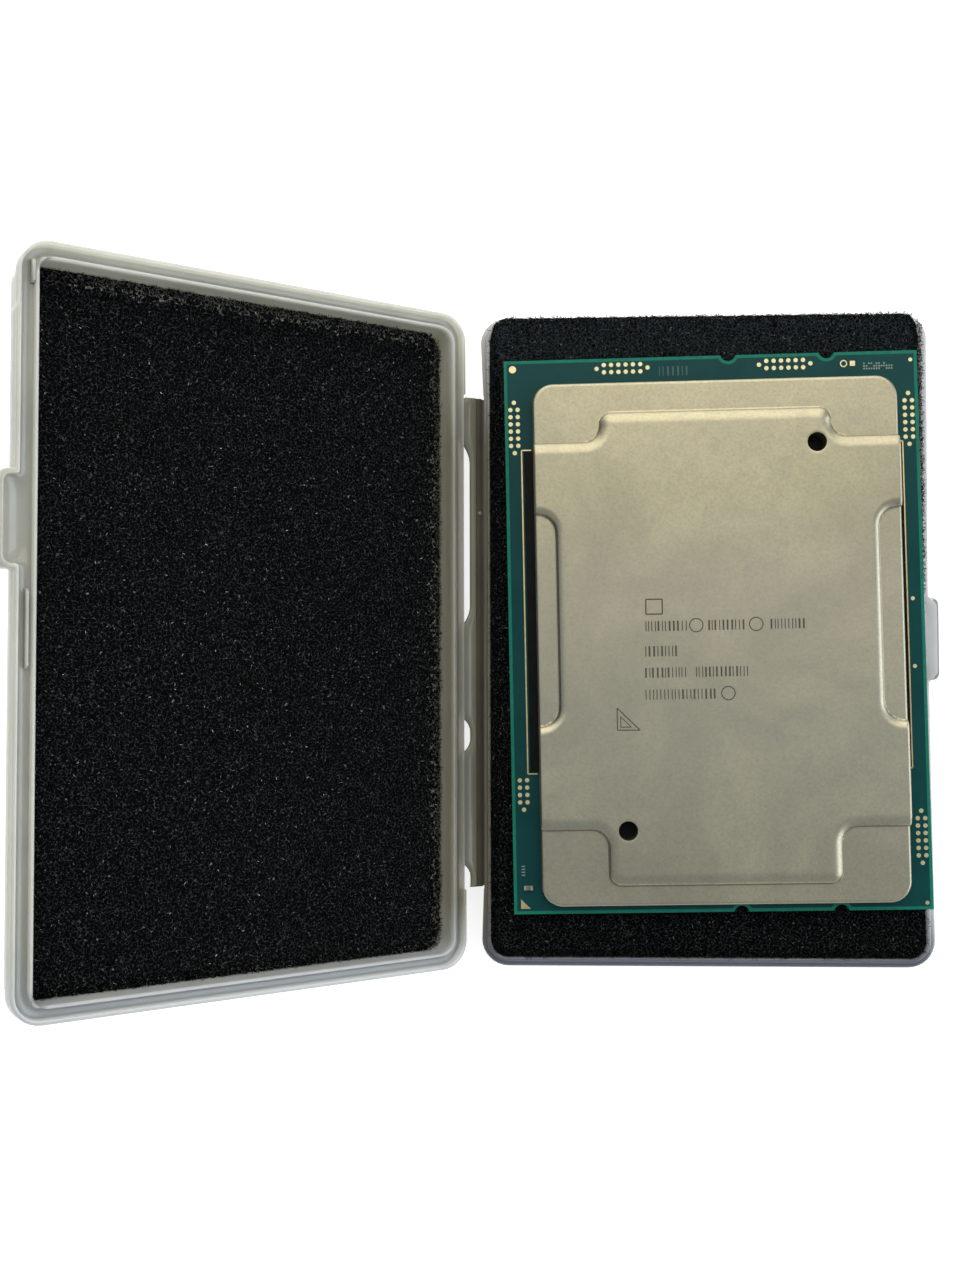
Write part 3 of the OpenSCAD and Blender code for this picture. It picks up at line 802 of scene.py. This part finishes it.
def cell_edges(x, y, cell):
    """Distance from the nearest wall between the cells of a random cell pattern."""
    gx, gy = np.floor(x / cell).astype(int), np.floor(y / cell).astype(int)
    near = np.full(x.shape, 9.0)
    second = np.full(x.shape, 9.0)
    for i in (-1, 0, 1):
        for j in (-1, 0, 1):
            mid = JITTER[(gx + i) & 255, (gy + j) & 255]
            d = np.hypot((gx + i + mid[..., 0]) * cell - x, (gy + j + mid[..., 1]) * cell - y)
            second = np.minimum(second, np.maximum(near, d))
            near = np.minimum(near, d)
    return second - near


STRUT_ROWS = {2: ((0.0, 1.0), (1.0, 0.8)), 3: ((0.0, 1.0), (0.5, 0.7), (1.0, 0.9))}
BEND = 0.25


def struts(base, lean, length, radius, rows):
    """Small three-sided foam struts from points, leaning as given, as (verts, faces)."""
    n = len(base)
    lean = lean / np.linalg.norm(lean, axis=1, keepdims=True)
    side = np.cross(lean, rng.normal(size=(n, 3)))
    side /= np.linalg.norm(side, axis=1, keepdims=True)
    other = np.cross(lean, side)
    size = rows * 3
    verts = np.zeros((n, size, 3))
    for row, (t, w) in enumerate(STRUT_ROWS[rows]):
        mid = base + lean * (length * t)[:, None] + side * (BEND * length * 4 * t * (1 - t))[:, None]
        for k in range(3):
            a = 2 * math.pi * k / 3
            spoke = (side * math.cos(a) + other * math.sin(a)) * (radius * w)[:, None]
            verts[:, row * 3 + k] = mid + spoke
    pattern = []
    for row in range(rows - 1):
        for k in range(3):
            a, b = row * 3 + k, row * 3 + (k + 1) % 3
            pattern.append((a, b, b + 3, a + 3))
    pattern += [(2, 1, 0), (size - 3, size - 2, size - 1)]
    faces = [tuple(i * size + v for v in f) for i in range(n) for f in pattern]
    return verts.reshape(-1, 3), faces


def around(box, r, n):
    """Random points on the edge of a rounded box, with outward directions."""
    x0, x1, y0, y1 = box
    w, l = x1 - x0, y1 - y0
    s = rng.random(n) * 2 * (w + l)
    sides = [s < w, s < w + l, s < 2 * w + l]
    x = np.select(sides, [x0 + s, x1, x1 - (s - w - l)], x0)
    y = np.select(sides, [y0, y0 + s - w, y1], y1 - (s - 2 * w - l))
    e = 0.02
    for _ in range(6):
        d = box_distance(x, y, box, r)
        gx = (box_distance(x + e, y, box, r) - d) / e
        gy = (box_distance(x, y + e, box, r) - d) / e
        x, y = x - d * gx, y - d * gy
    gx = (box_distance(x + e, y, box, r) - box_distance(x - e, y, box, r))
    gy = (box_distance(x, y + e, box, r) - box_distance(x, y - e, box, r))
    n_ = np.maximum(np.hypot(gx, gy), 1e-9)
    return np.stack([x, y], 1), np.stack([gx / n_, gy / n_], 1)


def foam_pad(name, box, r, xs, ys, top, bottom, height, cell, stray, lit, backlit,
             place, body, node):
    """A foam pad: a pitted top, rough sides, and loose struts along its edges and over its face.
    height gives the top's z and its shift along Y, and lit the share of the face that is backlit."""
    def outline(x, y):
        return box_distance(x, y, box, r)

    x, y, cells = clipped_grid(xs, ys, outline)
    x = x + rng.normal(0, 0.035, len(x))
    y = y + rng.normal(0, 0.035, len(y))
    d = -outline(x, y)
    pit = smooth((cell_edges(x, y, cell) - 0.03) / (0.42 * cell))
    z, shift = height(x, y, d)
    depth = np.where(d < 0.8, 0.62, 0.42) * cell * np.where(shift > 0.3, 0.55, 1.0)
    rough = rng.normal(0, 0.03, len(x))
    sheet_verts = np.stack([x, y + shift, z - pit * depth + rough], 1)

    def row(z_to, spread):
        def lower(p):
            inside = []
            for c in np.clip(p[:, 0], box[0], box[1]), np.clip(p[:, 1], box[2], box[3]):
                inside.append(c - np.sign(c) * np.abs(rng.normal(0, spread, len(p))))
            return np.column_stack([*inside, z_to + rng.normal(0, spread * 0.6, len(p))])
        return lower

    levels = np.arange(top - 0.75, bottom + 0.3, -0.55)
    lower = [row(z_to, 0.10) for z_to in levels] + [row(bottom, 0.0)]
    verts, faces, (a, b, where, index) = skirt(sheet_verts, cells, lower)
    for loop in chain(a, b):
        faces.append(tuple(int(index[-1][where[v]]) for v in reversed(loop)))
    materials = [FACE] * len(faces)
    share = lit(x, y)[cells].mean(1)
    materials[:len(cells)] = np.where(rng.random(len(cells)) < share, BACKLIT, FACE).tolist()
    parts = [(verts, faces)]
    for base, lean, length, radius, kind, rows in stray:
        v, f = struts(base, lean, length, radius, rows)
        parts.append((v, f))
        materials += [kind] * len(f)
    obj = piece(name, *joined(*parts), [foam, foam_fringe, foam_glint, backlit, foam_lit], body, place,
                stands_for=[node], slot="foam", sharp=60, face_materials=materials)
    return obj


def spaced(lo, hi, fine, coarse=None, plain=None):
    """Grid lines from lo to hi: fine spacing, and coarse inside the plain stretch."""
    out = [lo]
    while out[-1] < hi - fine * 0.5:
        here = out[-1]
        step = coarse if plain and plain[0] <= here < plain[1] else fine
        out.append(min(here + step, hi))
    out[-1] = hi
    return np.array(out)


def level_struts(x, y, z, rise, length, taper):
    """Struts through points, lying nearly level. length and taper are (least, range)."""
    lean = rng.normal(0, 1, (len(x), 3)) * np.array([1, 1, rise])
    lengths = length[0] + length[1] * rng.random(len(x))
    radii = taper[0] + taper[1] * rng.random(len(x))
    return np.column_stack([x, y, z]), lean, lengths, radii


def two_kinds(first, strands, kinds, rows):
    """Struts in two finishes: the first where first is true."""
    return [(*(a[chosen] for a in strands), kind, rows) for chosen, kind in zip((first, ~first), kinds)]


def fringe(box, r, count, z, tilt, out, dark, tall=(0.25, 0.7), drop=0.5):
    """Struts that stand out along a pad's top edge. dark is the share that isn't backlit."""
    p, n = around(box, r, count)
    inward = rng.random(count) * 1.1 - out
    base = np.column_stack([p - n * inward[:, None], z - rng.random(count) * drop * (inward < 0.2)])
    lean = np.column_stack([n * tilt, np.ones(count)]) + rng.normal(0, 0.9, (count, 3))
    length = tall[0] + (tall[1] - tall[0]) * rng.random(count)
    radius = 0.030 + 0.022 * rng.random(count)
    return two_kinds(np.arange(count) < int(count * dark), (base, lean, length, radius), (FRINGE, BACKLIT), 3)


def lit_cells(box, count, z, side):
    """Struts of the open cells along one edge of a pad, where light comes through the plastic."""
    depth = np.abs(rng.normal(0, 1.0, count))
    if side == "top":
        x, y = box[0] + 0.4 + rng.random(count) * (box[1] - box[0] - 2.6), box[3] - depth
    else:
        x, y = box[1] - depth, box[2] + 2.5 + rng.random(count) * (box[3] - box[2] - 5)
    z = z + rng.normal(-0.08, 0.08, count) - 0.15 * np.exp(-depth)
    return [(*level_struts(x, y, z, 0.5, (0.22, 0.30), (0.026, 0.018)), BACKLIT, 2)]


def ragged(count):
    """Loose struts over the base foam's top and right edges, some of them lit from behind."""
    along, across = rng.random(count), np.abs(rng.normal(0, 0.42, count))
    turned = rng.random(count) < 0.42
    x = np.where(turned, 30.0 - across, -28.6 + 58.0 * along)
    y = np.where(turned, 6.0 + 38.2 * along, 44.95 - across)
    beyond = np.maximum(x - 27.4, -26.9 - x)    # past the middle of either rounded corner
    inside = np.hypot(np.maximum(beyond, 0), np.maximum(y - 42.2, 0)) <= 2.7
    x, y = x[inside], y[inside]
    z = 8.72 + 0.22 * rng.random(len(x))
    strands = level_struts(x, y, z, 0.45, (0.20, 0.32), (0.026, 0.018))
    return two_kinds(rng.random(len(x)) < 0.62, strands, (FRINGE, LIT), 2)


def flecks(box, margin, count, z, shine):
    """Struts lying in a pad's face. shine is the share that the light catches."""
    x = box[0] + margin + rng.random(count) * (box[1] - box[0] - 2 * margin)
    y = box[2] + margin + rng.random(count) * (box[3] - box[2] - 2 * margin)
    strands = level_struts(x, y, z + rng.normal(-0.05, 0.05, count), 0.35, (0.16, 0.20), (0.026, 0.022))
    return two_kinds(np.arange(count) < int(count * (1 - shine)), strands, (FRINGE, GLINT), 2)


LID_FOAM = (-59.2, -2.3, -42.8, 42.8)
LID_FOAM_TOP, LID_FLOOR = -3.0, -7.0


def lid_height(x, y, d):
    crown = -0.25 * (1 - smooth(d / 1.2))
    wander = 0.05 * np.sin(0.31 * x + 1.1) * np.cos(0.23 * y)
    return LID_FOAM_TOP + crown + wander, 0.0


def lid_lit(x, y):
    """Share of the lid foam's face that light reaches through the plastic: its top and right edges."""
    top = 0.9 * (1 - smooth((LID_FOAM[3] - y) / 2.6)) * smooth((x - LID_FOAM[0]) / 12)
    right = 0.75 * (1 - smooth((LID_FOAM[1] - x) / 2.0))
    return np.maximum(top, right)


LID_FOAM_R = (0.5, 2.8)                     # corner radii on its left and right
lid_pad = foam_pad(
    "lid_foam_pad", LID_FOAM, LID_FOAM_R,
    spaced(LID_FOAM[0], LID_FOAM[1], 0.345), spaced(LID_FOAM[2], LID_FOAM[3], 0.345),
    LID_FOAM_TOP, LID_FLOOR, lid_height, 0.62,
    (fringe(LID_FOAM, LID_FOAM_R, 2600, LID_FOAM_TOP - 0.1, 0.8, 0.12, 0.75, (0.3, 0.85))
     + lit_cells(LID_FOAM, 1500, LID_FOAM_TOP, "top") + lit_cells(LID_FOAM, 1600, LID_FOAM_TOP, "right")
     + flecks(LID_FOAM, 0.8, 5200, LID_FOAM_TOP + 0.03, 0.035)),
    lid_lit, foam_lit, IN_LID, "lid", "lid_foam")
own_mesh(lid_pad)

BASE_FOAM, BASE_FOAM_R = (-29.6, 29.6, -43.7, 43.7), 2.4
BASE_FLOOR = 1.0


def base_height(x, y, d):
    """Lower along its edges, but for the top one, which bulges over the case's rim."""
    crown = smooth(d / 1.2)
    over = smooth((y - 41.3) / 2.0)
    z = 8.36 + (FOAM_TOP - 8.36) * np.maximum(crown, over)
    under = (np.abs(x - 1.2) < 27) & (np.abs(y - 0.8) < 36.5)
    return np.where(under, z, z + 0.05 * np.sin(1.3 * x) * np.cos(0.9 * y) + 0.36 * over), 1.05 * over


base_pad = foam_pad(
    "base_foam_pad", BASE_FOAM, BASE_FOAM_R,
    spaced(BASE_FOAM[0], BASE_FOAM[1], 0.24),
    spaced(BASE_FOAM[2], BASE_FOAM[3], 0.24, 1.2, (-35.5, 36.5)),
    FOAM_TOP, BASE_FLOOR, base_height, 0.55,
    (fringe((BASE_FOAM[0], BASE_FOAM[1], -43.6, 44.5), BASE_FOAM_R, 3600, 8.66, 0.5, 0.10, 0.85, drop=0.08)
     + ragged(3600)),
    # the base foam's top edge takes the painted bluish light
    lambda x, y: 0.85 * smooth((y - 32) / 6), foam_bluish_backlit, ROW, "base", "base_foam")
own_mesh(base_pad)


# ---------------------------------------------------------------- heat spreader

SPREADER_R = 2.9


def spreader_outline(x, y):
    """Distance outside the spreader, whose vents count as outside."""
    d = box_distance(x, y, SPREADER, SPREADER_R)
    for vx, vy in VENTS:
        d = np.maximum(d, VENT_R - np.hypot(x - vx, y - vy))
    return d


def fillet(s, width):
    """0 at the foot of a pressed step, 1 on its top, with a short wall and a rounded shoulder."""
    t = np.clip(s / width, 0, 1)
    return 0.42 * smooth(s / 0.22) + 0.58 * (1 - (1 - t) ** 2.2)


def raised_distance(x, y):
    """Distance outside the raised top, which is the neck and the waist together."""
    neck = box_distance(x, y, NECK, 1.6)
    waist = np.maximum(y - WAIST_Y[1], WAIST_Y[0] - y)
    r = 2.2
    return (np.maximum(r, np.minimum(neck, waist))
            - np.hypot(np.maximum(r - neck, 0), np.maximum(r - waist, 0)))


def ledge_distance(x, y):
    """Distance outside the nearer of the two side ledges."""
    left = box_distance(x, y, (SPREADER[0] - 8, LEDGE_X[0], *LEDGE_Y), 2.6)
    right = box_distance(x, y, (LEDGE_X[1], SPREADER[1] + 8, *LEDGE_Y), 2.6)
    return np.minimum(left, right)


def spreader_height(x, y):
    """Height of the heat spreader's surface above the solder mask."""
    x, y = np.asarray(x, float), np.asarray(y, float)
    h = SHOULDER_H + (TOP_H - SHOULDER_H) * fillet(0.12 - raised_distance(x, y), 1.75)
    ledge = LEDGE_H + (TOP_H - LEDGE_H) * fillet(ledge_distance(x, y) + 0.08, 1.25)
    h = np.minimum(h, np.where(ledge_distance(x, y) < 1.4, ledge, TOP_H))
    inside = np.clip(-box_distance(x, y, SPREADER, SPREADER_R), 0, 1)
    h -= 0.42 * (1 - np.sqrt(1 - (1 - np.clip(inside / 0.42, 0, 1)) ** 2))
    for vx, vy in VENTS:
        h -= 0.025 * (1 - smooth((np.hypot(x - vx, y - vy) - VENT_R) / 0.20))
    h += 0.010 * np.sin(0.17 * x + 0.4) * np.cos(0.13 * y + 0.9) + 0.006 * np.sin(0.41 * x - 0.29 * y)
    return h


def lines_near(lo, hi, marks):
    """Grid lines that crowd together near the given marks."""
    out = [lo]
    while out[-1] < hi - 1e-6:
        here = out[-1]
        gap = min(abs(here - m) for m in marks)
        step = 0.11 if gap < 1.05 else 0.22 if gap < 2.9 else 0.8
        ahead = [m - 1.05 for m in marks if m - 1.05 > here + 1e-6]
        if ahead and step > 0.11:
            step = min(step, max(min(ahead) - here, 0.11))
        out.append(min(here + step, hi))
    return np.array(out)


steps_x = (*SPREADER[:2], *LEDGE_X, *NECK[:2], *(v[0] for v in VENTS))
steps_y = (*SPREADER[2:], *LEDGE_Y, *NECK[2:], *WAIST_Y, *(v[1] for v in VENTS))
sx, sy, cells = clipped_grid(lines_near(*SPREADER[:2], steps_x), lines_near(*SPREADER[2:], steps_y),
                             spreader_outline)
sheet = np.stack([sx, sy, MASK_TOP + spreader_height(sx, sy)], 1)


def down_to(z):
    return lambda p: np.column_stack([p[:, :2], np.full(len(p), MASK_TOP + z)])


verts, faces, (ea, eb, where, index) = skirt(
    sheet, cells, [down_to(1.2), down_to(SEAT_H + 0.12), down_to(SEAT_H)])
kinds = [0] * len(faces)
for loop in chain(ea, eb):
    if len(loop) > 200:                     # the outer edge, not a vent's
        faces.append(tuple(int(index[-1][where[v]]) for v in reversed(loop)))
        # the closing underside takes the near-black epoxy finish, a painted shade seen down the vents
        kinds.append(1)
piece("heat_spreader_plate", verts, faces, [nickel, epoxy], "package", IN_PACKAGE,
      stands_for=["heat_spreader"], slot="nickel", sharp=40, face_materials=kinds)


# ---------------------------------------------------------------- marks

def stroke(p, q, width, height_at, thick=0.012):
    """A thin bar between two points, lying on a surface."""
    p, q = np.array(p, float), np.array(q, float)
    d = (q - p) / max(np.linalg.norm(q - p), 1e-9)
    n = np.array([-d[1], d[0]]) * width / 2
    ends = [p - n, q - n, q + n, p + n]
    top = [(*e, height_at(*e) + thick) for e in ends]
    low = [(*e, height_at(*e) - 0.02) for e in ends]
    walls = [(k, k + 4, (k + 1) % 4 + 4, (k + 1) % 4) for k in range(4)]
    return np.array(top + low), [(0, 1, 2, 3), (7, 6, 5, 4), *walls]


def outline_strokes(points, width, height_at):
    """Strokes round a closed outline."""
    return [stroke(p, q, width, height_at) for p, q in zip(points, points[1:] + points[:1])]


def tick_row(x0, x1, y0, y1, height_at, pitch=0.42):
    """A row of plain upright bars of mixed width, which stands where print was."""
    parts = []
    x = x0
    while x < x1:
        width = (0.13, 0.13, 0.24)[rng.integers(0, 3)]
        parts.append(stroke((x + width / 2, y0), (x + width / 2, y1), width, height_at))
        x += width + (pitch - 0.15) * (0.8 + 0.7 * rng.random())
    return parts


def circle(cx, cy, r):
    turns = [2 * math.pi * k / 20 for k in range(20)]
    return [(cx + r * math.cos(a), cy + r * math.sin(a)) for a in turns]


def on_spreader(x, y):
    return MASK_TOP + float(spreader_height(x, y))


def on_mask(*_):
    return MASK_TOP


# Plain bars, rings and outlines stand where the spreader has print
marks = outline_strokes([(-9.7, 2.4), (-7.5, 2.4), (-7.5, 4.4), (-9.7, 4.4)], 0.18, on_spreader)
for x0, x1, y0, y1 in ((-9.8, -4.2, 0.1, 1.45), (-1.4, 3.3, 0.1, 1.45), (6.9, 11.6, 0.1, 1.45),
                       (-9.9, -5.8, -3.3, -1.9), (-10.0, -4.6, -6.15, -4.8), (-3.2, 4.0, -6.15, -4.8),
                       (-10.0, -0.6, -9.1, -7.75)):
    marks += tick_row(x0, x1, y0, y1, on_spreader)
for cx, cy, r in ((-3.0, 0.8, 0.9), (5.0, 0.8, 0.9), (1.05, -8.4, 0.9)):
    marks += outline_strokes(circle(cx, cy, r), 0.15, on_spreader)
marks += outline_strokes([(-13.86, -10.13), (-13.86, -13.10), (-10.85, -13.14)], 0.15, on_spreader)
marks += outline_strokes([(-13.42, -11.3), (-13.42, -12.7), (-12.0, -12.72)], 0.12, on_spreader)
piece("spreader_marks", *joined(*marks), [laser], "package", IN_PACKAGE, slot="nickel", sharp=30)

# A block of small squares and two rows of faint bars stand where the mask has print
prints = []
for i in range(12):
    for j in range(3):
        if rng.random() < 0.62:
            x, y = 20.95 + i * 0.34, 35.62 + j * 0.36
            prints.append(stroke((x, y), (x + 0.22, y), 0.22, on_mask, 0.01))
for k in range(4):
    prints.append(stroke((-27.15, -32.7 + 0.4 * k), (-26.65, -32.7 + 0.4 * k), 0.14, on_mask, 0.01))
piece("mask_print", *joined(*prints), [legend], "package", IN_PACKAGE,
      slot="solder_mask", sharp=30)
piece("mask_print_faint", *joined(*tick_row(-6.9, -2.7, 35.4, 36.7, on_mask, 0.5)),
      [legend_faint], "package", IN_PACKAGE, slot="solder_mask", sharp=30)
pair = outline_strokes(circle(18.3, 36.4, 0.42), 0.16, on_mask)
pair.append(stroke((19.15, 36.4), (19.85, 36.4), 0.7, on_mask))
piece("mask_gold_marks", *joined(*pair), [pad_gold], "package", IN_PACKAGE, slot="gold", sharp=30)


traces = []
for x_far, x_near in ((-26.02, -24.7), (25.98, 25.2)):
    low, high = TRACE_Y
    traces += [stroke((x_far, low), (x_far, high), 0.17, on_mask),
               stroke((x_far, low), (x_near, low), 0.17, on_mask),
               stroke((x_far, high), (x_near, high), 0.17, on_mask)]
piece("frame_trace_lines", *joined(*traces), [gold], "package", IN_PACKAGE,
      stands_for=["frame_traces"], slot="gold", sharp=30)


# ---------------------------------------------------------------- contact lands

def lands(side):
    """Contact pads in staggered rows over one half of the underside."""
    parts = []
    pitch_x, pitch_y, r = 0.99, 0.858, 0.36
    a = np.linspace(0, 2 * math.pi, 9)[:-1]
    around_x, around_y = r * np.cos(a), 1.12 * r * np.sin(a)
    for row_i, y in enumerate(np.arange(-36.0, 36.01, pitch_y)):
        for x in np.arange(1.3 + pitch_x / 2 * (row_i % 2), 26.3, pitch_x):
            if x < 10.6 and abs(y) < 13.6:  # the gap for the land-side capacitors
                continue
            parts.append(loft([
                np.column_stack([side * x + size * around_x, y + size * around_y, np.full(8, z)])
                for size, z in ((0.88, -0.05), (1, -0.02), (1, 0.0))]))
    return joined(*parts)


for side, name in ((-1, "left"), (1, "right")):
    piece("contact_lands_" + name, *lands(side), [gold], "package", IN_PACKAGE,
          stands_for=["land_field_" + name], slot="gold", sharp=30)


# ---------------------------------------------------------------- floor, light and camera

FLOOR_SIZE = 20                             # metres to each side
floor_mesh = bpy.data.meshes.new("floor")
floor_mesh.from_pydata([(x * FLOOR_SIZE, y * FLOOR_SIZE, 0) for x, y in ((-1, -1), (1, -1), (1, 1), (-1, 1))],
                       [], [(0, 1, 2, 3)])
floor = in_scene("floor", floor_mesh)
floor.location.z = -0.0001
paper = Nodes("paper")
paper.colour(paper.mix(paper.noise(0.02, 2), (0.70, 0.70, 0.70), (0.72, 0.72, 0.72)))
paper.set(Roughness=0.9, Specular_IOR_Level=0.1, Emission_Color=(1, 1, 1, 1), Emission_Strength=0.72)
floor_mesh.materials.append(paper.material)

# Soft windows, aimed at the case: name, place in metres, size, watts, colour
for name, place, size, watts, colour in (
        ("window", (0.0, 0.80, 1.15), (1.6, 1.1), 9.5, (1.0, 0.94, 0.76)),
        ("low_window", (0.0, 1.10, 0.42), (1.8, 0.5), 5.0, (1.0, 0.95, 0.82)),
        ("right_window", (1.0, -0.10, 0.48), (1.0, 0.5), 4.2, (0.86, 0.93, 1.0))):
    data = bpy.data.lights.new(name, "AREA")
    data.shape = "RECTANGLE"
    data.size, data.size_y = size
    data.energy = watts
    data.color = colour
    lamp = in_scene(name, data)
    lamp.location = place
    lamp.rotation_mode = "QUATERNION"
    lamp.rotation_quaternion = (Vector() - Vector(place)).to_track_quat("-Z", "Y")
world = bpy.data.worlds.new("world")
world.use_nodes = True
sky = world.node_tree.nodes["Background"]
sky.inputs["Color"].default_value = (0.87, 0.94, 1.0, 1)
sky.inputs["Strength"].default_value = 0.41
bpy.context.scene.world = world
bpy.context.scene.view_settings.view_transform = "Standard"

# The camera as fitted to the photograph: its place in millimetres, and its turn as axis times angle
CAMERA_PLACE = (-23.5577, -7.3821, 199.6535)
CAMERA_TURN = Vector((-0.0378, -0.0395, 0.0031))
camera_data = bpy.data.cameras.new("camera")
camera_data.sensor_width = 36
camera_data.lens = 38.77
camera_data.clip_start, camera_data.clip_end = 0.005, 10
camera = in_scene("camera", camera_data)
to_camera = Matrix.Rotation(CAMERA_TURN.length, 3, CAMERA_TURN.normalized())
camera.matrix_world = Matrix.LocRotScale(Vector(CAMERA_PLACE) * MM, to_camera.transposed(), None)
bpy.context.scene.camera = camera
